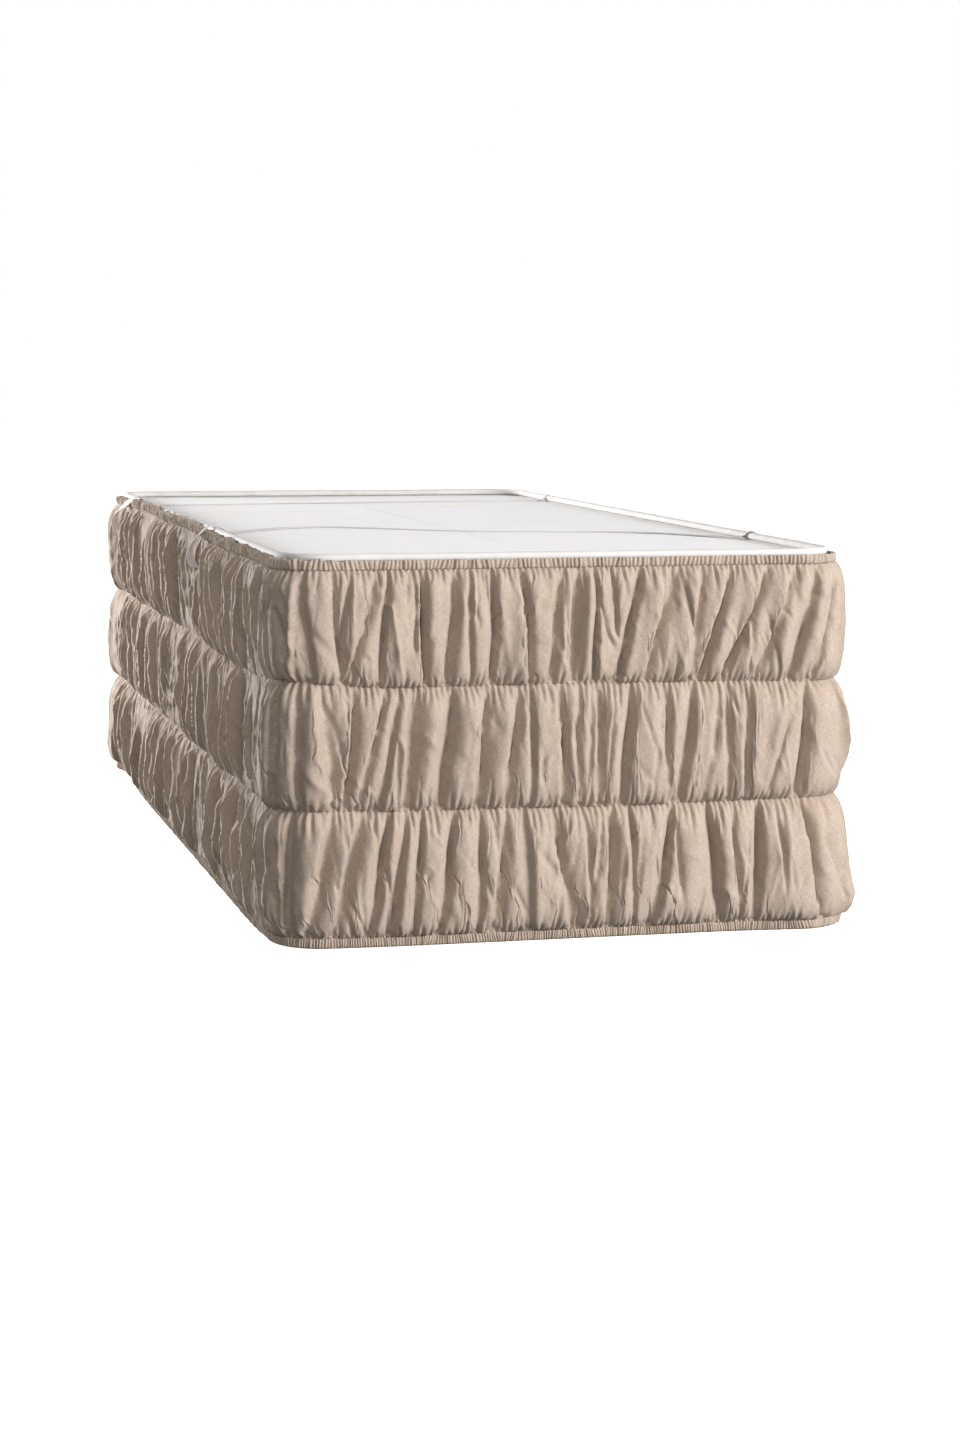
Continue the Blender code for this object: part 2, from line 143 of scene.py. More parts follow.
FRONT_EXTRAS = 16           # small valleys between the main ones of the foot end
SIDE_END = 0.502            # where the foot end's folds give way to the side's, and how softly
SIDE_BLEND = 0.018
SIDE_RIDGES = 62            # over one long side and its corners
SIDE_FLOOR = 0.0045         # how far the cloth between the side's ridges stands out
LARGE_RIDGES = 0.38         # share of the ridges that are large
FULL_AT = 0.06              # how far past the half's start the cloth is fullest, and its reach
FULL_REACH = 0.10
SOFT_CREASES = 380          # round half the bed, in each tier

# One row is one smooth hump: its place and its reach along the bed's edge, and its rise. Metres.
WANDER_COLUMNS = ("centre", "reach", "rise")
HEADER_WANDER = ((-1.36, 0.26, 0.008), (-1.90, 0.28, 0.008), (0.30, 0.25, 0.001))
SEAM_WANDER = (
    ((-0.45, 0.10, 0.012), (0.47, 0.20, -0.005), (-1.30, 0.30, 0.004), (1.50, 0.40, -0.005)),
    ((-0.44, 0.12, 0.004), (0.10, 0.15, -0.003), (-1.70, 0.35, -0.004), (2.10, 0.50, 0.005)),
)
HEM_RAISE = ((-2.19, 0.15, 0.014),)
HEADER_FOLD = ((-0.78, 0.40, 1.0), (-1.45, 0.50, 1.0), (-2.05, 0.32, 0.8))
HEADER_SLACK = ((-0.95, 0.22, 0.004), (-1.55, 0.30, 0.006), (-2.15, 0.20, 0.004))

# ---- the straps' routes ----
# Stations along the centre line in millimetres, and the way the width points. The last column is 0
# where it is left out.
STRAP_COLUMNS = ("x", "y", "z", "across_x", "across_y", "across_z")
FRONT_STRAP = (
    (-483, -343, 539, 0.80, 0.60),
    (-488, -337, 547, 0.80, 0.60),
    (-491, -334, 558, 0.72, 0.69),
    (-489, -330, 571, 0.55, 0.84),
    (-482, -322, 584, 0.30, 0.95),
    (-472, -314, 595.5, 0.10, 0.99),
    (-461, -310, 605, 0.00, 1.00),
    (-452, -311, 610, 0.05, 1.00),
    (-443, -311, 612, 0.05, 1.00),
    (-436, -309, 609, -0.10, 0.99),
    (-428, -303, 602.5, -0.30, 0.95),
    (-414, -286, 597, -0.60, 0.80),
    (-375, -230, 595.3, -0.75, 0.66),
    (-310, -165, 595.3, -0.55, 0.84),
    (-225, -140, 595.3, 0.15, 0.99),
    (-140, -190, 595.3, 0.52, 0.86),
    (-50, -265, 595.3, 0.55, 0.83),
    (50, -322, 595.3, 0.32, 0.95),
    (165, -348, 595.3, 0.15, 0.99),
    (270, -365, 595.3, 0.30, 0.95),
    (340, -415, 595.6, 0.68, 0.73),
    (395, -500, 595.6, 0.80, 0.60),
    (422, -552, 595.2, 0.70, 0.71),
    (430, -567, 596.6, 0.50, 0.86),
    (436, -578, 602.6, 0.35, 0.94),
    (439.5, -583, 606.2, 0.20, 0.98),
    (443, -588, 607.6, 0.10, 0.99),
    (447.5, -592, 606.2, 0.00, 1.00),
    (449.8, -594, 603, 0.00, 1.00),
    (451.0, -596, 598, 0.00, 1.00),
    (451.5, -596, 584, 0.00, 1.00),
)
REAR_STRAP = (
    (-484, 800, 524, 0.55, 0.82, 0.15),
    (-486, 798, 538, 0.50, 0.86, 0.15),
    (-488, 788, 554, 0.55, 0.80, 0.20),
    (-486, 766, 570, 0.62, 0.60, 0.50),
    (-480, 736, 584, 0.50, 0.65, 0.57),
    (-471, 706, 596, 0.25, 0.80, 0.53),
    (-461, 680, 605, 0.10, 0.95, 0.25),
    (-452, 662, 610, 0.15, 0.98),
    (-443, 652, 612, 0.20, 0.98),
    (-436.5, 646, 609, 0.15, 0.99),
    (-428, 642, 602.5, 0.00, 1.00),
    (-418, 638, 597, 0.00, 1.00),
    (-380, 642, 595.3, -0.10, 0.99),
    (-100, 672, 595.3, -0.10, 0.99),
    (200, 698, 595.3, -0.10, 0.99),
    (418, 710, 595.2, 0.00, 1.00),
    (430, 711, 596.6, 0.00, 1.00),
    (436, 712, 602.6, 0.00, 1.00),
    (439.5, 712, 606.2, 0.00, 1.00),
    (443, 712, 607.6, 0.00, 1.00),
    (447.5, 712, 606.2, 0.00, 1.00),
    (449.8, 712, 603, 0.00, 1.00),
    (451.0, 712, 598, 0.00, 1.00),
    (451.3, 712, 584, 0.00, 1.00),
)

# ---- the rounded rectangle ----
FLAT_X = BED_WIDTH / 2 - CORNER_RADIUS
FLAT_Y = BED_LENGTH / 2 - CORNER_RADIUS
ARC = math.pi / 2 * CORNER_RADIUS
RING = 4 * (FLAT_X + FLAT_Y) + 4 * ARC
HALF = RING / 2
START = FLAT_X + ARC / 2 - HALF     # the half ring runs from the far left corner to the near right
TURN = np.array([HALF, 0, 0], np.float32)[:, None, None]
HEM_HANG = ((START, 0.12, 0.003), (-0.435, 0.10, -0.011), (START + HALF, 0.12, 0.012))


def ring_place(along, out):
    """Plan positions `out` metres outside the base's side, `along` metres round the ring."""
    along = (along + HALF) % RING - HALF
    mirror = np.where(along < 0, -1.0, 1.0)
    rest = np.abs(along)
    reach = CORNER_RADIUS + out
    first = (rest - FLAT_X) / CORNER_RADIUS
    second = (rest - FLAT_X - ARC - 2 * FLAT_Y) / CORNER_RADIUS
    stretches = (
        (FLAT_X, rest, -(FLAT_Y + reach)),
        (FLAT_X + ARC, FLAT_X + reach * np.sin(first), -(FLAT_Y + reach * np.cos(first))),
        (FLAT_X + ARC + 2 * FLAT_Y, FLAT_X + reach, rest - FLAT_X - ARC - FLAT_Y),
        (FLAT_X + 2 * ARC + 2 * FLAT_Y,
         FLAT_X + reach * np.cos(second), FLAT_Y + reach * np.sin(second)),
    )
    x = 2 * FLAT_X + 2 * ARC + 2 * FLAT_Y - rest
    y = FLAT_Y + reach
    for end, to_x, to_y in reversed(stretches):
        x = np.where(rest <= end, to_x, x)
        y = np.where(rest <= end, to_y, y)
    return mirror * x, y


def bump(along, centre, reach):
    gap = (along - centre + HALF) % RING - HALF
    return np.exp(-(gap / reach) ** 2)


def wander(along, humps):
    total = np.zeros_like(along)
    for hump in humps:
        row = dict(zip(WANDER_COLUMNS, hump))
        total = total + row["rise"] * bump(along, row["centre"], row["reach"])
    return total


def corner_ease(along):
    foot, head = FLAT_X + ARC / 2, FLAT_X + ARC * 1.5 + 2 * FLAT_Y
    return CORNER_EASE * sum(bump(along, s, ARC * 0.6) for s in (-head, -foot, foot, head))


def around(gap):
    """A gap along the half ring, the short way."""
    return (gap + HALF / 2) % HALF - HALF / 2


def smooth_round(values, reach):
    """Values in a closed ring, each averaged with its neighbours up to `reach` away."""
    kernel = np.exp(-np.linspace(-2, 2, 2 * reach + 1) ** 2)
    wide = np.concatenate([values[-reach:], values, values[:reach]])
    return np.convolve(wide, kernel / kernel.sum(), "valid")


# ---- the folds that the cloth starts from ----
def pucker(line, along):
    """The small waves of a drawn-up line, from about -1 to 1."""
    rng = np.random.default_rng(SEEDS["puckers"] + line)
    count = 4000
    pace = smooth_round(rng.uniform(0.3, 1.7, count), 3)
    turns = np.concatenate([[0], np.cumsum(pace) / pace.sum() * round(HALF / PUCKER_PITCH)])
    size = smooth_round(rng.uniform(0.2, 1.8, count), 4)
    place = (along - START) % HALF / HALF * count
    phase = 2 * math.pi * np.interp(place, np.arange(count + 1), turns)
    return np.sin(phase) * np.interp(place, np.arange(count), size)


def crown(share):
    """The bow of a tier between its two lines."""
    return np.clip(1 - np.abs(2 * share - 1) ** 3.6, 0, 1) ** 0.55


def waves(seed, along, share, count, low, high, rise):
    """A sum of slanting waves, for slow unevenness along a tier."""
    rng = np.random.default_rng(seed)
    total = np.zeros_like(along)
    for _ in range(count):
        turns = rng.integers(low, high)
        phase, slant = rng.uniform(0, 6.28), rng.uniform(-3, 3)
        angle = 2 * math.pi * turns * (along - START) / HALF + phase + slant * share
        total = total + rise * np.sin(angle)
    return total


def flank_gap(gap, left, right):
    """A gap from a fold's middle, in widths of the flank that it lies on."""
    gap = around(gap)
    return np.where(gap < 0, -gap / left, gap / right)


def join_folds(total, fold, overlap):
    """Folds that meet merge, and add only a share of the lesser one."""
    return np.maximum(total, fold) + overlap * np.minimum(total, fold)


def front_cuts(tier, along, share):
    """The valleys of the foot end: narrow cuts between broad flat ridges."""
    rng = np.random.default_rng(SEEDS["cuts"] + tier)
    rows = [dict(zip(FOLD_COLUMNS, (v * MM for v in fold)), top=-0.3, bottom=1.3)
            for fold in FRONT_FOLDS[tier]]
    for fold in range(FRONT_EXTRAS):
        at = SIDE_END * (2 * (fold + rng.uniform(0, 1)) / FRONT_EXTRAS - 1)
        lean = rng.normal(0, 0.008)
        top = rng.uniform(-0.3, 0.5)
        rows.append(dict(
            upper=at - lean, lower=at + lean, width=rng.uniform(0.010, 0.016),
            depth=rng.uniform(0.003, 0.007), top=top, bottom=top + rng.uniform(0.35, 0.8)))
    between = np.clip((share - FOLD_ROWS[0]) / (FOLD_ROWS[1] - FOLD_ROWS[0]), -0.4, 1.4)
    cut = np.zeros_like(along)
    for row in rows:
        top, bottom = row["top"], row["bottom"]
        centre = row["upper"] + (row["lower"] - row["upper"]) * between
        wave = 0.0015 * np.sin(share * rng.uniform(4, 9) + rng.uniform(0, 6.28))
        steep = max(0.0022, row["width"] * rng.uniform(0.10, 0.22))
        easy = row["width"] * rng.uniform(0.30, 0.70)
        flanks = (easy, steep) if rng.uniform() < 0.4 else (steep, easy)
        swell = 0.8 + 0.35 * np.sin(share * math.pi * rng.uniform(0.8, 1.2) + rng.uniform(-0.3, 0.3))
        swell = swell * np.exp(-(np.abs(2 * share - top - bottom) / (bottom - top) / 1.05) ** 6)
        gap = flank_gap(along - (centre + wave), *flanks)
        cut = join_folds(cut, 1.9 * row["depth"] * swell * np.exp(-gap ** 1.3), 0.25)
    return cut


def side_ridges(tier, along, share):
    """The ridges of a long side: narrow crests that fork, merge and fade, over a hollow floor."""
    rng = np.random.default_rng(SEEDS["ridges"] + tier)
    ridge = np.zeros_like(along)
    first, last = START - 0.03, -SIDE_END + 0.05
    for fold in range(SIDE_RIDGES):
        at = first + (last - first) * (fold + rng.uniform(0.05, 0.95)) / SIDE_RIDGES
        slant = 0.020 * math.sin(at / 0.055 + tier) + 0.014 * math.sin(at / 0.021 + 2 * tier)
        lean, sway = slant + rng.normal(0, 0.007), rng.normal(0, 0.006)
        large = rng.uniform() < LARGE_RIDGES
        top, bottom = rng.uniform(-0.6, 0.25), rng.uniform(0.75, 1.6)
        wave = sway * np.sin(share * rng.uniform(3, 8) + rng.uniform(0, 6.28))
        left, right = rng.uniform(0.003, 0.008), rng.uniform(0.004, 0.009) * (2.2 if large else 1.0)
        rise = rng.uniform(0.020, 0.030) if large else rng.uniform(0.004, 0.013)
        run = (share - top) / (bottom - top)
        fade = np.exp(-(np.abs(2 * run - 1) / 0.95) ** 5)
        gap = flank_gap(along - (at - lean + 2 * lean * share + wave), left, right)
        ridge = join_folds(ridge, rise * fade * np.exp(-gap ** 1.2), 0.3)
    return ridge


def soft_creases(tier, along, share):
    """Many small creases and dents that run part of the way down, and the ones drawn one by one."""
    rng = np.random.default_rng(SEEDS["creases"] + tier)
    total = np.zeros_like(along)
    for k in range(SOFT_CREASES):
        middle = START + HALF * (k + rng.uniform(0, 1)) / SOFT_CREASES
        top = rng.uniform(-0.1, 0.7)
        bottom = top + rng.uniform(0.15, 0.6)
        lean = rng.normal(0, 0.016)
        width, depth = rng.uniform(0.002, 0.006), rng.uniform(-0.0035, 0.0040)
        run = (share - top) / (bottom - top)
        gap = around(along - (middle - lean + 2 * lean * run)) / width
        total = total + depth * np.exp(-gap * gap) * np.exp(-((run - 0.5) / 0.42) ** 4)
    for crease in FRONT_CREASES:
        row = dict(zip(CREASE_COLUMNS, crease))
        if row["tier"] == tier:
            run = (share - row["from_share"]) / (row["to_share"] - row["from_share"])
            centre = (row["start"] + (row["end"] - row["start"]) * run) * MM
            gap = around(along - centre) / (row["half_width"] * MM)
            fade = np.exp(-((run - 0.5) / 0.5) ** 6)
            total = total - row["rise"] * MM * np.exp(-gap * gap) * fade
    return total


def near_pucker(line, along, share, gap):
    """How near a place is to a drawn-up line `gap` metres away, from 0 to 1."""
    uneven = 1 + waves(SEEDS["reach"] + line, along, share, count=8, low=60, high=260, rise=0.3)
    return np.exp(-(gap / (PUCKER_REACH * np.clip(uneven, 0.35, 2.4))) ** 1.5)


def tier_shape(tier, along, share):
    """How far the cloth stands out, for a column of height shares and a row of places."""
    bow = crown(share)
    uneven = 1 + waves(SEEDS["puff"] + tier, along, share, count=6, low=8, high=60, rise=0.045)
    front = PUFFS[tier] * uneven * bow - front_cuts(tier, along, share) * bow ** 0.5
    floor = SIDE_FLOOR * (1 + waves(
        SEEDS["floor"] + tier, along, share, count=5, low=12, high=40, rise=0.2))
    full = np.exp(-(around(along - START - FULL_AT) / FULL_REACH) ** 2)
    side = (floor + side_ridges(tier, along, share)) * (1 - 0.6 * full) + 0.75 * PUFFS[tier] * full
    side = side * bow ** 0.8
    middle = np.clip((along + SIDE_END) / SIDE_BLEND, -1, 1)
    end = np.clip((SIDE_END - 0.01 - along) / SIDE_BLEND, -1, 1)
    blend = np.minimum(middle, end) / 2 + 0.5
    out = side + (front - side) * blend - soft_creases(tier, along, share) * bow ** 0.5
    out = np.maximum(out, 0.0)
    height = TIER_HEIGHTS[tier]
    for line, gap in ((tier, share * height), (tier + 1, (1 - share) * height)):
        near = near_pucker(line, along, share, gap)
        out = out * (1 - 0.35 * near) + PUCKER_RISE * near * pucker(line, along) * (1 + 25 * gap)
    return LINE_OUT + np.maximum(out, -0.003)


def row_shares(count, height):
    """Height shares that put rows at even steps along the tier's bowed profile."""
    share = np.linspace(0, 1, 2001)
    out = 0.85 * PUFFS[0] * crown(share)
    length = np.concatenate([[0], np.cumsum(np.hypot(np.diff(share) * height, np.diff(out)))])
    return np.interp(np.arange(count + 1) / count, length / length[-1], share)


# ---- settling: a mass and spring cloth, unrolled to (along, out, height) ----
SETTLE_STEPS = 90
SETTLE_NOISE = 0.08         # how rough the cloth starts, as a share of a cell
KEEP_SHAPE = 0.88           # how far each cell's rest length follows the starting folds
PULL = 0.06                 # and how strongly its place does
BEND_ALONG = 0.005
BEND_DOWN = 0.035
SHEAR = 0.25
WEIGHT = 0.04
PRESS = 0.10                # pushes the cloth away from the base
TIME_STEP = 0.01
DAMPING = 0.96
TOP_SPEED = 0.4
LEAST_OUT = 0.001           # from the base, and then between neighbours along and down
LEAST_ALONG = 0.0002
LEAST_DOWN = 0.0003


def pairs(count):
    """Slices of every second cell and of the cell after each, from the first cell, then the second."""
    for first in (0, 1):
        last = first + (count - first) // 2 * 2
        yield slice(first, last - 1, 2), slice(first + 1, last, 2)


def link(a, b, rest, strength, free_a, free_b):
    """Pulls the points a and b, in place, towards their rest length."""
    gap = b - a
    length = np.sqrt((gap * gap).sum(0))
    total = free_a + free_b
    total = np.where(total == 0, 1, total)
    move = gap * (strength * (1 - rest / (length + 1e-9)))
    a += move * (free_a / total)
    b -= move * (free_b / total)


def part(a, b, least, free_a, free_b):
    """Moves a down and b up, in place, until b is `least` above a."""
    move = np.maximum(least - (b - a), 0) * 0.5
    a -= move * free_a
    b += move * free_b


class Settler:
    """Springs along, down and across the cloth, with stiffness against bending."""

    def __init__(self, cloth, lines, rests):
        self.cloth = cloth
        self.lines = lines
        self.along_rest, self.down_rest, self.falling_rest, self.rising_rest = rests
        self.free = np.ones((cloth.shape[1], 1), np.float32)
        self.free[lines] = 0

    def stretch_along(self):
        cloth = np.concatenate([self.cloth, self.cloth[:, :, :1] + TURN], 2)
        for a, b in pairs(cloth.shape[2]):
            link(cloth[:, :, a], cloth[:, :, b], self.along_rest[:, a], 1.0, self.free, self.free)
            if a.start == 0:
                cloth[:, :, -1:] = cloth[:, :, :1] + TURN
        self.cloth[:] = cloth[:, :, :-1]
        self.cloth[:, :, :1] = cloth[:, :, -1:] - TURN

    def stretch_down(self):
        cloth, free = self.cloth, self.free
        for a, b in pairs(cloth.shape[1]):
            link(cloth[:, a], cloth[:, b], self.down_rest[a], 1.0, free[a], free[b])

    def shear(self):
        cloth, free = self.cloth, self.free
        for a, b in pairs(cloth.shape[1]):
            for c, d in pairs(cloth.shape[2]):
                falling, rising = self.falling_rest[a, c], self.rising_rest[a, c]
                link(cloth[:, a, c], cloth[:, b, d], falling, SHEAR, free[a], free[b])
                link(cloth[:, b, c], cloth[:, a, d], rising, SHEAR, free[b], free[a])

    def bend(self):
        cloth = self.cloth
        wide = np.concatenate([cloth[:, :, -2:] - TURN, cloth, cloth[:, :, :2] + TURN], 2)
        curve = wide[:, :, :-2] - 2 * wide[:, :, 1:-1] + wide[:, :, 2:]
        stiff = curve[:, :, :-2] - 2 * curve[:, :, 1:-1] + curve[:, :, 2:]
        cloth -= BEND_ALONG * stiff * self.free
        curve = np.zeros_like(cloth)
        curve[:, 1:-1] = cloth[:, :-2] - 2 * cloth[:, 1:-1] + cloth[:, 2:]
        curve[:, self.lines] = 0
        stiff = np.zeros_like(cloth)
        stiff[:, 1:-1] = curve[:, :-2] - 2 * curve[:, 1:-1] + curve[:, 2:]
        cloth -= BEND_DOWN * stiff * self.free

    def keep_order(self):
        """Keeps neighbours in order along each row and down each column."""
        place, height, free = self.cloth[0], self.cloth[2], self.free
        for a, b in pairs(place.shape[1]):
            part(place[:, a], place[:, b], LEAST_ALONG, free, free)
        move = np.maximum(LEAST_ALONG - (place[:, :1] + HALF - place[:, -1:]), 0) * 0.5 * free
        place[:, -1:] -= move
        place[:, :1] += move
        for upper, lower in pairs(height.shape[0]):
            part(height[lower], height[upper], LEAST_DOWN, free[lower], free[upper])

    def run(self):
        cloth = self.cloth
        target, held = cloth[:2].copy(), cloth[:, self.lines].copy()
        speed = np.zeros_like(cloth)
        for _ in range(SETTLE_STEPS):
            before = cloth.copy()
            speed[2] -= WEIGHT * TIME_STEP
            speed[1] += PRESS * TIME_STEP
            cloth += speed * (TIME_STEP * self.free)
            cloth[:2] += (PULL * self.free) * (target - cloth[:2])
            self.bend()
            self.shear()
            self.stretch_down()
            self.stretch_along()
            np.maximum(cloth[1], LEAST_OUT, out=cloth[1])
            self.keep_order()
            cloth[:, self.lines] = held
            speed = (cloth - before) * (DAMPING / TIME_STEP)
            speed *= np.minimum(1, TOP_SPEED / (np.sqrt((speed * speed).sum(0)) + 1e-9))
        return cloth.astype(np.float64)


# ---- laying the cloth in its folds ----
DRIFT_REACH = 0.12          # folds wider than this share their way along in all rows
LINE_PULL = 0.12            # how near its line, in shares of its tier, a row follows the line's places


def tier_layout(tier, count, fine):
    """A tier's height shares, how far out it stands at each, and the shares of cloth taken up."""
    share = row_shares(count, TIER_HEIGHTS[tier])[:, None]
    out = tier_shape(tier, np.broadcast_to(fine, (count + 1, fine.size)), share)
    slope = np.sqrt(1 + np.gradient(out, fine, axis=1) ** 2)
    length = np.cumsum((slope[:, 1:] + slope[:, :-1]) / 2, axis=1)
    length = np.concatenate([np.zeros((count + 1, 1)), length], 1)
    return share[:, 0], out, length / length[:, -1:]


def share_drift(cloth, lines, even):
    """Gives all rows one slow drift along the bed, so that the folds stand straight."""
    reach = int(DRIFT_REACH / CELL_ALONG)
    middles = [(upper + lower) // 2 for upper, lower in zip(lines, lines[1:])]
    drift = smooth_round(np.mean([cloth[0, row] - even for row in middles], 0), reach)
    for row in range(cloth.shape[1]):
        own = cloth[0, row] - even
        cloth[0, row] = even + drift + (0.0 if row in lines else own - smooth_round(own, reach))


def starting_folds(counts, lines):
    """Half of the skirt's cloth, even steps of it laid along the tiers' shapes."""
    columns = int(round(GATHER * HALF / CELL_ALONG / 2)) * 2
    cloth = np.zeros((3, lines[-1] + 1, columns), np.float32)
    fine = np.linspace(START, START + HALF, 6001)
    portion = np.arange(columns) / columns
    layouts = [tier_layout(tier, count, fine) for tier, count in enumerate(counts)]
    for tier, (share, _, length) in enumerate(layouts):
        for i in range(1, counts[tier]):
            cloth[0, lines[tier] + i] = np.interp(portion, length[i], fine)
            cloth[2, lines[tier] + i] = LINE_HEIGHTS[tier] - share[i] * TIER_HEIGHTS[tier]
    share_drift(cloth, lines, START + HALF * portion)
    for tier, (share, out, _) in enumerate(layouts):
        for i in range(1, counts[tier]):
            row = lines[tier] + i
            line = lines[tier] if share[i] < 0.5 else lines[tier + 1]
            mix = max(0.0, 1 - min(share[i], 1 - share[i]) / LINE_PULL)
            cloth[0, row] = cloth[0, row] * (1 - mix) + cloth[0, line] * mix
            cloth[1, row] = np.interp(cloth[0, row], fine, out[i])
    for i, line in enumerate(lines):
        cloth[1, line] = LINE_OUT + PUCKER_RISE * pucker(i, cloth[0, line])
        cloth[2, line] = LINE_HEIGHTS[i] + PUCKER_LIFT * pucker(i + 7, cloth[0, line])
    rng = np.random.default_rng(SEEDS["cloth"])
    rough = rng.standard_normal(cloth.shape[1:]) * CELL_ALONG * SETTLE_NOISE
    cloth[1] += rough.astype(np.float32)
    return cloth


def rest_lengths(cloth, counts):
    """Rest lengths along, down and both ways across: even cells, drawn towards the starting folds."""
    along = GATHER * HALF / cloth.shape[2]
    down = np.concatenate([
        np.full(count, height * DROP_SLACK / count)
        for count, height in zip(counts, TIER_HEIGHTS)])[:, None]
    cross = np.hypot(down, along)
    closed = np.concatenate([cloth, cloth[:, :, :1] + TURN], 2)
    cells = (
        (along, np.diff(closed, axis=2), 0.6, 1.6),
        (down, np.diff(cloth, axis=1), 0.85, 1.35),
        (cross, cloth[:, 1:, 1:] - cloth[:, :-1, :-1], 0.5, 1.8),
        (cross, cloth[:, :-1, 1:] - cloth[:, 1:, :-1], 0.5, 1.8),
    )
    rests = []
    for even, gap, least, most in cells:
        folded = np.clip(np.linalg.norm(gap, axis=0), least * even, most * even)
        rests.append((even + (folded - even) * KEEP_SHAPE).astype(np.float32))
    return rests


def gathered_cloth():
    """Half of the skirt as (along, out, height) grids, with the rows of its four drawn-up lines."""
    counts = [int(round(height * DROP_SLACK / CELL_DOWN)) for height in TIER_HEIGHTS]
    lines = [0, counts[0], counts[0] + counts[1], sum(counts)]
    cloth = starting_folds(counts, lines)
    return Settler(cloth, lines, rest_lengths(cloth, counts)).run(), lines


def line_offset(line, along):
    """How far a drawn-up line leaves its level course."""
    humps = (HEADER_WANDER, *SEAM_WANDER, HEM_RAISE)[line]
    return wander(along, humps)


def place_tier(cloth, lines, tier):
    """A tier's points all round the bed: the settled half, then the same half on the other side."""
    half = cloth[:, lines[tier]:lines[tier + 1] + 1]
    along, out, height = np.concatenate([half, half + TURN], 2)
    share = (LINE_HEIGHTS[tier] - height) / TIER_HEIGHTS[tier]
    lift = (1 - share) * line_offset(tier, along) + share * line_offset(tier + 1, along)
    near_line = np.clip(1 - 4 * share * (1 - share), 0, 1)
    out = out + corner_ease(along) * (0.35 + 0.65 * near_line)
    out = out + (1 - share) * LINE_OUTS[tier] + share * LINE_OUTS[tier + 1]
    if tier == 2:
        out = out + wander(along, HEM_HANG) * np.clip(share, 0, 1)
    if tier == 0:
        out = out + wander(along, HEADER_SLACK) * np.clip(1 - 1.6 * share, 0, 1)
    x, y = ring_place(along, out)
    return np.stack([x, y, height + lift], -1)


# ---- meshes ----
def make_object(name, points, faces, material, flat=None):
    """A smooth mesh. `flat` gives each point's place on the flat cloth, in metres."""
    mesh = bpy.data.meshes.new(name)
    mesh.from_pydata(points.tolist(), [], faces)
    mesh.shade_smooth()
    if flat is not None:
        corners = np.empty(len(mesh.loops), np.int32)
        mesh.loops.foreach_get("vertex_index", corners)
        layer = mesh.uv_layers.new(name="cloth")
        layer.data.foreach_set("uv", flat[corners].reshape(-1).astype(np.float32))
    mesh.materials.append(material)
    made = bpy.data.objects.new(name, mesh)
    bpy.context.scene.collection.objects.link(made)
    return made


def dress(piece, node):
    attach(piece, "root")
    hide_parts(node)


def closed_normals(points):
    """Smooth normals of a grid whose last column is followed by its first one."""
    wide = np.concatenate([points[:, -1:], points, points[:, :1]], 1)
    ahead = wide[:, 2:] - wide[:, :-2]
    down = np.empty_like(points)
    down[1:-1] = points[2:] - points[:-2]
    down[0] = points[1] - points[0]
    down[-1] = points[-1] - points[-2]
    normals = np.cross(down, ahead)
    return normals / (np.linalg.norm(normals, axis=2, keepdims=True) + 1e-12)


def cloth_piece(name, points, normals, size, material):
    """A quad grid of cloth; size is its flat (width, length)."""
    rows, columns = points.shape[:2]
    index = np.arange(rows * columns).reshape(rows, columns)
    faces = np.stack([index[:-1, :-1], index[1:, :-1], index[1:, 1:], index[:-1, 1:]], -1)
    u, v = np.meshgrid(np.linspace(0, size[0], columns), np.linspace(size[1], 0, rows))
    flat = np.stack([u, v], -1).reshape(-1, 2)
    piece = make_object(name, points.reshape(-1, 3), faces.reshape(-1, 4).tolist(), material, flat)
    piece.data.normals_split_custom_set_from_vertices(normals.reshape(-1, 3).tolist())
    dress(piece, "skirt")


def both_halves(name, points, flat_height, material):
    """A closed ring of cloth as two pieces, each half the way round."""
    size = (round(GATHER * HALF, 3), round(flat_height, 3))
    normals = closed_normals(points)
    middle = points.shape[1] // 2
    for suffix, first in (("near", 0), ("far", middle)):
        columns = np.arange(first, first + middle + 1) % points.shape[1]
        cloth_piece(f"{name}_{suffix}", points[:, columns], normals[:, columns], size, material)


# ---- the header and hem bands ----
# One row up the band's face, then over its top and in: the share of its height, how much of the pleats
# shows there, how far it is rolled in, and how far in and up it lies where the top is folded over.
BAND_COLUMNS = ("share", "show", "roll", "fold_in", "fold_up")
BAND_ROWS = (
    (-0.05, 0.2, 3.0, 3.0, 0.0),
    (0.03, 0.7, 0.8, 0.8, 0.0),
    (0.20, 1.0, 0.0, 0.0, 0.0),
    (0.45, 1.0, 0.0, 0.0, 0.0),
    (0.70, 1.0, 0.0, 0.0, 0.0),
    (0.90, 0.9, 0.2, 0.2, 0.2),
    (1.00, 0.7, 1.0, 2.5, 1.4),
    (0.99, 0.5, 2.2, 5.5, 1.6),
    (0.90, 0.4, 3.0, 9.0, 1.6),
)
BAND_TILT = 0.012           # how far the pleats lean along the bed, over the band's height
BAND_LUMP = 0.0016


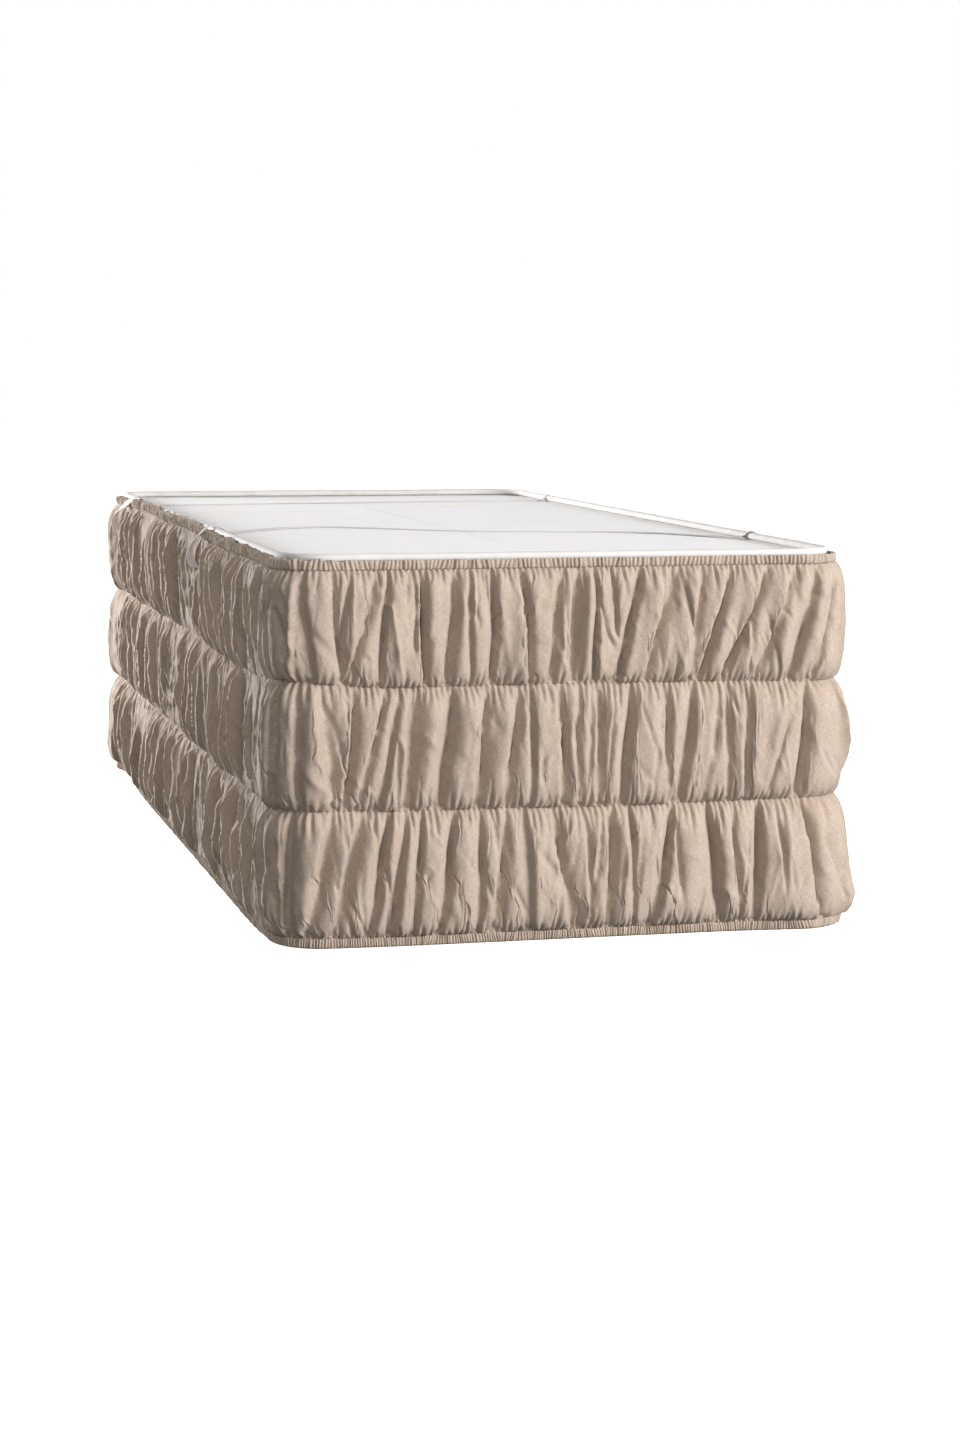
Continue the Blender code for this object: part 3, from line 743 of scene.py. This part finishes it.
def pleated_band(seed, pitch, rise, step, low, high, humps, out, slack, lean, folded):
    """A narrow band of fine pleats all round the bed, as rows of points from its top down.

    Where `folded` is near 1 the top lies inwards over the piping, elsewhere it is rolled in.
    """
    rng = np.random.default_rng(seed)
    columns = int(round(HALF / step)) * 2
    along = START + RING * np.arange(columns) / columns
    reach = max(2, int(pitch / step))
    pace = smooth_round(rng.uniform(0.45, 1.55, columns), reach)
    turns = np.cumsum(pace) / pace.sum() * round(RING / pitch)
    size = smooth_round(rng.uniform(0.1, 1.9, columns), reach)
    tilt = smooth_round(rng.standard_normal(columns), int(0.02 / step)) * BAND_TILT
    lump = [smooth_round(rng.standard_normal(columns), int(0.012 / step)) for _ in range(2)]
    loose = 1 + 1.5 * np.clip(np.abs(wander(along, folded)), 0, 1)
    lump_out, lump_up = (BAND_LUMP * loose * wave / wave.std() * 0.5 for wave in lump)
    pleat = np.abs(np.sin(np.pi * turns)) ** 0.55
    rows = []
    for entry in BAND_ROWS:
        row = dict(zip(BAND_COLUMNS, entry))
        share = row["share"]
        over = row["fold_in"] > 2 and share > 0.5
        place = along + tilt * (share - 0.5) * (high - low) / BAND_HEIGHT
        fold = np.clip(wander(place, folded), 0, 1)
        bottom = low + wander(place, humps)
        top = high + wander(place, humps) + lump_up * (0.4 + 0.6 * (loose > 1.5))
        height = bottom + (top - bottom) * (share + (1 - share) * fold * over)
        height = height + 0.0007 * (pleat - 0.5) * (share > 0.8) * size + row["fold_up"] * MM * fold
        stand = (out + corner_ease(place) + wander(place, slack) * (1 + lean * share) + lump_out * share
                 + rise * size * pleat * row["show"]
                 - (row["roll"] + (row["fold_in"] - row["roll"]) * fold) * MM)
        x, y = ring_place(place, stand)
        rows.append(np.stack([x, y, height], -1))
    return np.array(rows[::-1])


# ---- materials ----
class Nodes:
    """Short calls for building the nodes of a material or of the world."""

    def __init__(self, owner, shader):
        owner.use_nodes = True
        self.tree = owner.node_tree
        self.shader = self.tree.nodes[shader]

    def feed(self, node, inputs):
        """Sets inputs by name or number, each to a plain value or another node's output."""
        for key, value in inputs.items():
            if isinstance(value, bpy.types.NodeSocket):
                self.tree.links.new(value, node.inputs[key])
            else:
                node.inputs[key].default_value = value

    def add(self, kind, inputs, **settings):
        node = self.tree.nodes.new(kind)
        for key, value in settings.items():
            setattr(node, key, value)
        self.feed(node, inputs)
        return node

    def maths(self, operation, *values):
        return self.add("ShaderNodeMath", dict(enumerate(values)), operation=operation).outputs[0]

    def split(self, vector):
        return self.add("ShaderNodeSeparateXYZ", {0: vector}).outputs

    def coordinates(self, kind):
        return self.add("ShaderNodeTexCoord", {}).outputs[kind]

    def cloth_place(self):
        return self.add("ShaderNodeUVMap", {}, uv_map="cloth").outputs[0]

    def noise(self, vector, scale, detail=2.0, stretch=(1, 1, 1)):
        mapping = self.add("ShaderNodeMapping", {"Scale": stretch, "Vector": vector})
        inputs = {"Scale": scale, "Detail": detail, "Vector": mapping.outputs[0]}
        return self.add("ShaderNodeTexNoise", inputs).outputs["Fac"]

    def ramp(self, value, stops):
        node = self.add("ShaderNodeValToRGB", {0: value})
        elements = node.color_ramp.elements
        while len(elements) < len(stops):
            elements.new(0.5)
        for element, (place, colour) in zip(elements, stops):
            element.position = place
            element.color = (*colour, 1)
        return node.outputs[0]

    def tinted(self, base, tint):
        node = self.add("ShaderNodeMix", {}, data_type="RGBA", blend_type="MULTIPLY")
        self.feed(node, {"Factor": 1.0, 6: base, 7: tint})
        return node.outputs[2]

    def bump(self, height, strength, distance, **more):
        inputs = {"Height": height, "Strength": strength, "Distance": distance, **more}
        return self.add("ShaderNodeBump", inputs).outputs[0]

    def weave(self, vector, pitch):
        """Plain weave: threads over and under each other, as a height from 0 to 1."""
        places = self.split(vector)
        turn = math.pi / pitch
        across = self.maths("SINE", self.maths("MULTIPLY", places[0], turn))
        down = self.maths("SINE", self.maths("MULTIPLY", places[1], turn))
        product = self.maths("MULTIPLY", across, down)
        return self.maths("ADD", self.maths("MULTIPLY", product, 0.5), 0.5)


def new_material(name):
    material = bpy.data.materials.new(name)
    return material, Nodes(material, "Principled BSDF")


def linen_material():
    material, nodes = new_material("linen")
    vector = nodes.cloth_place()
    warp = nodes.noise(vector, 1.0, 3.0, (1300, 130, 1))
    weft = nodes.noise(vector, 1.0, 3.0, (130, 1300, 1))
    blotch = nodes.noise(vector, 1.0, 3.0, (26, 22, 1))
    threads = nodes.maths("MULTIPLY", nodes.maths("ADD", warp, weft), 0.5)
    base = nodes.ramp(threads, (
        (0.34, (0.357, 0.279, 0.212)), (0.50, (0.457, 0.370, 0.294)), (0.66, (0.572, 0.478, 0.394))))
    tint = nodes.ramp(blotch, ((0.35, (0.93, 0.92, 0.90)), (0.65, (1.0, 1.0, 1.0))))
    fine = nodes.bump(nodes.maths("ADD", nodes.weave(vector, 0.0007), threads), 0.35, 0.0004)
    nodes.feed(nodes.shader, {
        "Base Color": nodes.tinted(base, tint),
        "Roughness": 0.88,
        "Sheen Weight": 0.28,
        "Sheen Roughness": 0.35,
        "Specular IOR Level": 0.25,
        "Normal": nodes.bump(nodes.noise(vector, 1.0, 5.0, (95, 60, 1)), 0.5, 0.0022, Normal=fine),
    })
    return material


def ticking_material():
    material, nodes = new_material("ticking")
    vector = nodes.coordinates("Object")
    streaks = nodes.noise(vector, 1.0, 2.0, (5, 60, 8))
    patches = nodes.noise(vector, 1.0, 2.0, (3, 9, 4))
    marks = nodes.maths("MULTIPLY", streaks, patches)
    height = nodes.maths("ADD", nodes.weave(vector, 0.0012), nodes.noise(vector, 40.0, 3.0))
    nodes.feed(nodes.shader, {
        "Base Color": nodes.ramp(marks, ((0.30, (0.945, 0.94, 0.922)), (0.42, (0.90, 0.82, 0.73)))),
        "Roughness": 0.82,
        "Sheen Weight": 0.15,
        "Normal": nodes.bump(height, 0.3, 0.0006),
    })
    return material


def rim_material():
    material, nodes = new_material("rim_cloth")
    vector = nodes.coordinates("Object")
    # The piping is white like the ticking: its grey here is painted shade, varied at random by the
    # noise.
    painted_shade_tones = (0.3, (0.64, 0.62, 0.585)), (0.7, (0.71, 0.69, 0.655))
    nodes.feed(nodes.shader, {
        "Base Color": nodes.ramp(nodes.noise(vector, 30.0, 3.0), painted_shade_tones),
        "Roughness": 0.8,
        "Normal": nodes.bump(nodes.noise(vector, 160.0, 2.0), 0.2, 0.0006),
    })
    return material


def elastic_material():
    material, nodes = new_material("elastic")
    along = nodes.split(nodes.cloth_place())[1]
    ribs = nodes.maths("SINE", nodes.maths("MULTIPLY", along, 2 * math.pi / 0.0016))
    ribs = nodes.maths("ADD", nodes.maths("MULTIPLY", ribs, 0.5), 0.5)
    nodes.feed(nodes.shader, {
        # The elastic is white: its grey is painted shade, and the colour follows the rib height, so the
        # grooves get painted shade too.
        "Base Color": nodes.ramp(ribs, ((0.2, (0.63, 0.60, 0.605)), (0.8, (0.77, 0.74, 0.745)))),
        "Roughness": 0.55,
        "Subsurface Weight": 0.15,
        "Subsurface Scale": 0.002,
        "Normal": nodes.bump(ribs, 0.6, 0.0004),
    })
    return material


# ---- base and piping ----
OUTLINE_POINTS = 360
SIDE_PROFILE = (            # up the base's side: height, and how far inside the outline
    (0.0, 0.004), (0.0008, 0.002), (0.003, 0.0004), (0.006, 0.0), (0.30, 0.0),
    (0.5870, 0.0), (0.5905, 0.0004), (0.5930, 0.0018), (0.5938, 0.0040),
)
TOP_INSETS = (              # and inwards over its top
    0.008, 0.012, 0.016, 0.022, 0.030, 0.042, 0.06, 0.085, 0.12, 0.16, 0.20, 0.25,
    0.30, 0.35, 0.40, 0.435, 0.4495,
)
TOP_SAG = 0.0007
PIPING_SEAT = 0.0008        # how far the ticking is drawn down beside the piping
RIM_POINTS = 900
RIM_SIDES = 14
RIM_THIN = 0.0009           # how much thinner the cord is than its solid


def outline_runs(inset):
    """The half sizes and radius of an outline, and how far round it each side and corner begins."""
    radius = max(BASE_CORNER_RADIUS - inset, 0.0005)
    flat_x, flat_y = BED_WIDTH / 2 - inset - radius, BED_LENGTH / 2 - inset - radius
    arc = math.pi / 2 * radius
    return flat_x, flat_y, radius, np.cumsum([0, *[2 * flat_y, arc, 2 * flat_x, arc] * 2])


def rounded_outline(inset, count):
    """`count` points evenly along a rounded rectangle `inset` metres inside the base's outline."""
    flat_x, flat_y, radius, runs = outline_runs(inset)
    outer = outline_runs(0.0)[-1]
    at = np.interp(np.arange(count) / count, outer / outer[-1], runs / runs[-1]) * runs[-1]
    corners = ((1, 1), (-1, 1), (-1, -1), (1, -1))
    points = np.zeros((count, 2))
    for i, place in enumerate(at):
        run = min(int(np.searchsorted(runs, place, "right")) - 1, 7)
        past = place - runs[run]
        side = run // 2
        sx, sy = corners[side]
        if run % 2:
            turn = side * math.pi / 2 + past / radius
            points[i] = sx * flat_x + radius * math.cos(turn), sy * flat_y + radius * math.sin(turn)
        elif side % 2 == 0:
            points[i] = sx * (flat_x + radius), sx * (past - flat_y)
        else:
            points[i] = sy * (flat_x - past), sy * (flat_y + radius)
    return points


def loops_object(name, loops, material, ring):
    """Closed loops of points as one mesh: a closed ring of loops, or open with its last loop capped."""
    count = len(loops[0])
    faces = []
    for k in range(len(loops) if ring else len(loops) - 1):
        low, high = k * count, (k + 1) % len(loops) * count
        for i in range(count):
            j = (i + 1) % count
            faces.append((low + i, low + j, high + j, high + i))
    if not ring:
        faces.append(tuple(reversed(range(count))))
    return make_object(name, np.concatenate(loops), faces, material)


def build_base(material):
    loops = []
    for height, inset in SIDE_PROFILE:
        outline = rounded_outline(inset, OUTLINE_POINTS)
        loops.append(np.column_stack([outline, np.full(OUTLINE_POINTS, height)]))
    for inset in TOP_INSETS:
        outline = rounded_outline(inset, OUTLINE_POINTS)
        x, y = outline.T
        sag = TOP_SAG * np.sin(9 * x + 3.0 * np.sin(2.3 * y)) * np.sin(5.1 * y + 2.0 * x)
        seat = -PIPING_SEAT * math.exp(-((inset - 2 * RIM_RADIUS) / 0.006) ** 2)
        height = BASE_TOP + 0.0002 + seat + sag * min(1.0, inset / 0.06)
        loops.append(np.column_stack([outline, height]))
    dress(loops_object("base_cover", loops, material, ring=False), "bed_base")


def build_rim(material):
    rng = np.random.default_rng(SEEDS["rim"])
    swell = smooth_round(rng.standard_normal(RIM_POINTS), 3) * 0.0002
    drop = smooth_round(rng.standard_normal(RIM_POINTS), 25) * 0.0012
    radius = RIM_RADIUS - RIM_THIN
    loops = []
    for side in range(RIM_SIDES):
        turn = 2 * math.pi * side / RIM_SIDES
        outline = rounded_outline(RIM_RADIUS - radius * math.cos(turn), RIM_POINTS)
        lower = drop * (0.5 + 0.5 * math.sin(turn))
        height = RIM_HEIGHT + (radius + swell) * math.sin(turn) + lower
        loops.append(np.column_stack([outline, height]))
    dress(loops_object("rim_cord", loops, material, ring=True), "rim_piping")


# ---- straps ----
STRAP_SAMPLES = 360
STRAP_STEPS = 8             # across the width, on each face
SELVEDGE = 0.6              # how thick the strap is at its edges, as a share


def spline(table, count):
    """Evenly spaced samples of a smooth curve through a table's rows, and its length."""
    chord = np.linalg.norm(np.diff(table[:, :3], axis=0), axis=1)
    knots = np.concatenate([[0], np.cumsum(np.sqrt(chord))])
    slopes = np.gradient(table, knots, axis=0)
    at = np.linspace(0, knots[-1], count * 6)
    k = np.clip(np.searchsorted(knots, at, "right") - 1, 0, len(knots) - 2)
    span = (knots[k + 1] - knots[k])[:, None]
    t = ((at - knots[k]) / span[:, 0])[:, None]
    curve = ((2 * t ** 3 - 3 * t ** 2 + 1) * table[k] + (t ** 3 - 2 * t ** 2 + t) * span * slopes[k]
             + (3 * t ** 2 - 2 * t ** 3) * table[k + 1] + (t ** 3 - t ** 2) * span * slopes[k + 1])
    steps = np.linalg.norm(np.diff(curve[:, :3], axis=0), axis=1)
    length = np.concatenate([[0], np.cumsum(steps)])
    even = np.linspace(0, length[-1], count)
    samples = np.column_stack([np.interp(even, length, column) for column in curve.T])
    return samples, float(length[-1])


def unit(vectors):
    return vectors / np.linalg.norm(vectors, axis=1, keepdims=True)


def strap_path(stations):
    """A strap's centre line, the ways across its width and out of its face, and its length."""
    rows = [dict(zip(STRAP_COLUMNS, station)) for station in stations]
    table = np.array([
        [r["x"] * MM, r["y"] * MM, r["z"] * MM, r["across_x"], r["across_y"], r.get("across_z", 0.0)]
        for r in rows])
    samples, length = spline(table, STRAP_SAMPLES)
    centre, across = samples[:, :3], unit(samples[:, 3:])
    forward = np.gradient(centre, axis=0)
    along = (across * forward).sum(1) / (forward * forward).sum(1)
    across = unit(across - forward * along[:, None])
    return centre, across, unit(np.cross(forward, across)), length


def build_strap(name, stations, node, material):
    """A flat band: rows of points across its face and back round the other side, closed at the ends."""
    centre, across, normal, length = strap_path(stations)
    face = [(-0.5 + k / STRAP_STEPS, 0.5) for k in range(STRAP_STEPS + 1)]
    back = [(0.5 - k / STRAP_STEPS, -0.5) for k in range(STRAP_STEPS + 1)]
    places = np.linspace(0, length, STRAP_SAMPLES)
    points, flat = [], []
    for share, side in face + back:
        thick = STRAP_THICKNESS * side * (SELVEDGE if abs(share) > 0.49 else 1.0)
        points.append(centre + across * STRAP_WIDTH * share + normal * thick)
        flat.append(np.column_stack([places, np.full(STRAP_SAMPLES, share * STRAP_WIDTH)]))
    index = np.arange(len(points) * STRAP_SAMPLES).reshape(len(points), STRAP_SAMPLES)
    after = np.roll(index, -1, axis=0)
    faces = np.stack([index[:, :-1], index[:, 1:], after[:, 1:], after[:, :-1]], -1)
    faces = [*faces.reshape(-1, 4).tolist(), index[:, 0].tolist(), index[::-1, -1].tolist()]
    strap = make_object(name, np.concatenate(points), faces, material, np.concatenate(flat))
    dress(strap, node)


# ---- camera, light and floor ----
CAMERA_TURNS = (14.28, -7.45, 0.32)     # yaw, pitch and roll in degrees
CAMERA_PLACE = (-1.206, -5.183, 0.908)
CAMERA_LENS = 70.16
CAMERA_SENSOR = 36
LAMP_COLUMNS = ("name", "place", "aim", "size", "power")
LAMPS = (
    ("key", (3.5, -4.8, 1.75), (0.1, -0.9, 0.3), 2.4, 392),
    ("corner", (-2.0, -6.0, 1.8), (-0.45, -0.9, 0.3), 0.4, 74),
    ("left", (-2.9, 3.2, 1.0), (-0.5, 0.0, 0.3), 0.7, 300),
)
FLOOR_HALF = 30


def build_camera():
    yaw, pitch, roll = (math.radians(turn) for turn in CAMERA_TURNS)
    level = math.cos(pitch)
    forward = Vector((math.sin(yaw) * level, math.cos(yaw) * level, math.sin(pitch)))
    right = Vector((math.cos(yaw), -math.sin(yaw), 0))
    up = right.cross(forward)
    right, up = (right * math.cos(roll) + up * math.sin(roll),
                 up * math.cos(roll) - right * math.sin(roll))
    camera = bpy.data.objects.new("camera", bpy.data.cameras.new("camera"))
    rows = [(right[i], up[i], -forward[i], CAMERA_PLACE[i]) for i in range(3)]
    camera.matrix_world = Matrix((*rows, (0, 0, 0, 1)))
    camera.data.sensor_width = CAMERA_SENSOR
    camera.data.lens = CAMERA_LENS
    camera.data.clip_end = 100
    bpy.context.scene.collection.objects.link(camera)
    bpy.context.scene.camera = camera


def build_lamps():
    for entry in LAMPS:
        row = dict(zip(LAMP_COLUMNS, entry))
        light = bpy.data.lights.new(row["name"], "AREA")
        light.shape = "SQUARE"
        light.size = row["size"]
        light.energy = row["power"]
        light.color = (1.0, 1.0, 1.04)
        lamp = bpy.data.objects.new(row["name"], light)
        lamp.location = row["place"]
        way = Vector(row["aim"]) - Vector(row["place"])
        lamp.rotation_euler = way.to_track_quat("-Z", "Y").to_euler()
        bpy.context.scene.collection.objects.link(lamp)


def graded(nodes, value, low, high, to_low, to_high):
    inputs = {"Value": value, "From Min": low, "From Max": high, "To Min": to_low, "To Max": to_high}
    return nodes.add("ShaderNodeMapRange", inputs).outputs[0]


def build_world():
    """Soft light, stronger from above and from the right. The camera itself sees plain white."""
    world = bpy.data.worlds.new("studio")
    bpy.context.scene.world = world
    nodes = Nodes(world, "Background")
    way = nodes.split(nodes.coordinates("Generated"))
    above = graded(nodes, way[2], -0.1, 1.0, 0.12, 0.58)
    right = graded(nodes, way[0], -1.0, 1.0, 0.38, 1.30)
    strength = nodes.maths("MULTIPLY", above, right)
    nodes.feed(nodes.shader, {0: (1.0, 0.975, 0.94, 1), 1: strength})
    seen = nodes.add("ShaderNodeBackground", {0: (1, 1, 1, 1), 1: 1.0})
    from_camera = nodes.add("ShaderNodeLightPath", {}).outputs["Is Camera Ray"]
    mix = nodes.add("ShaderNodeMixShader", {
        0: from_camera, 1: nodes.shader.outputs[0], 2: seen.outputs[0]})
    nodes.feed(nodes.tree.nodes["World Output"], {0: mix.outputs[0]})


def build_floor():
    material, nodes = new_material("floor")
    nodes.feed(nodes.shader, {
        "Base Color": (0.92, 0.92, 0.92, 1),
        "Roughness": 0.9,
        "Emission Color": (1, 1, 1, 1),
        "Emission Strength": 0.80,
    })
    points = FLOOR_HALF * np.array([(-1, -1, 0), (1, -1, 0), (1, 1, 0), (-1, 1, 0)])
    floor = make_object("floor", points, [(0, 1, 2, 3)], material)
    floor.visible_diffuse = False
    floor.visible_glossy = False
    floor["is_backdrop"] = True


def build_skirt():
    linen = linen_material()
    cloth, lines = gathered_cloth()
    for tier, name in enumerate(("tier_top", "tier_middle", "tier_bottom")):
        both_halves(name, place_tier(cloth, lines, tier), TIER_HEIGHTS[tier] * DROP_SLACK, linen)
    header = pleated_band(
        seed=SEEDS["header"], pitch=0.0070, rise=0.0040, step=0.0012, low=LINE_HEIGHTS[0],
        high=HEADER_TOP, humps=HEADER_WANDER, out=0.0042, slack=HEADER_SLACK, lean=0.5,
        folded=HEADER_FOLD)
    both_halves("header", header, HEADER_FLAT, linen)
    hem = pleated_band(
        seed=SEEDS["hem"], pitch=0.0042, rise=0.0036, step=0.0008, low=0.0006, high=LINE_HEIGHTS[3],
        humps=HEM_RAISE, out=0.0046 + LINE_OUTS[3], slack=HEM_HANG, lean=0.0, folded=())
    both_halves("hem", hem, HEM_FLAT, linen)


def main():
    build_camera()
    build_lamps()
    build_world()
    build_floor()
    bpy.context.scene.view_settings.view_transform = "Standard"
    build_skirt()
    build_base(ticking_material())
    build_rim(rim_material())
    elastic = elastic_material()
    build_strap("front_strap", FRONT_STRAP, "strap_front", elastic)
    build_strap("rear_strap", REAR_STRAP, "strap_rear", elastic)


main()
boxes = [[[float(v) for v in corner] for corner in box] for box in (CAD_BOX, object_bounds())]
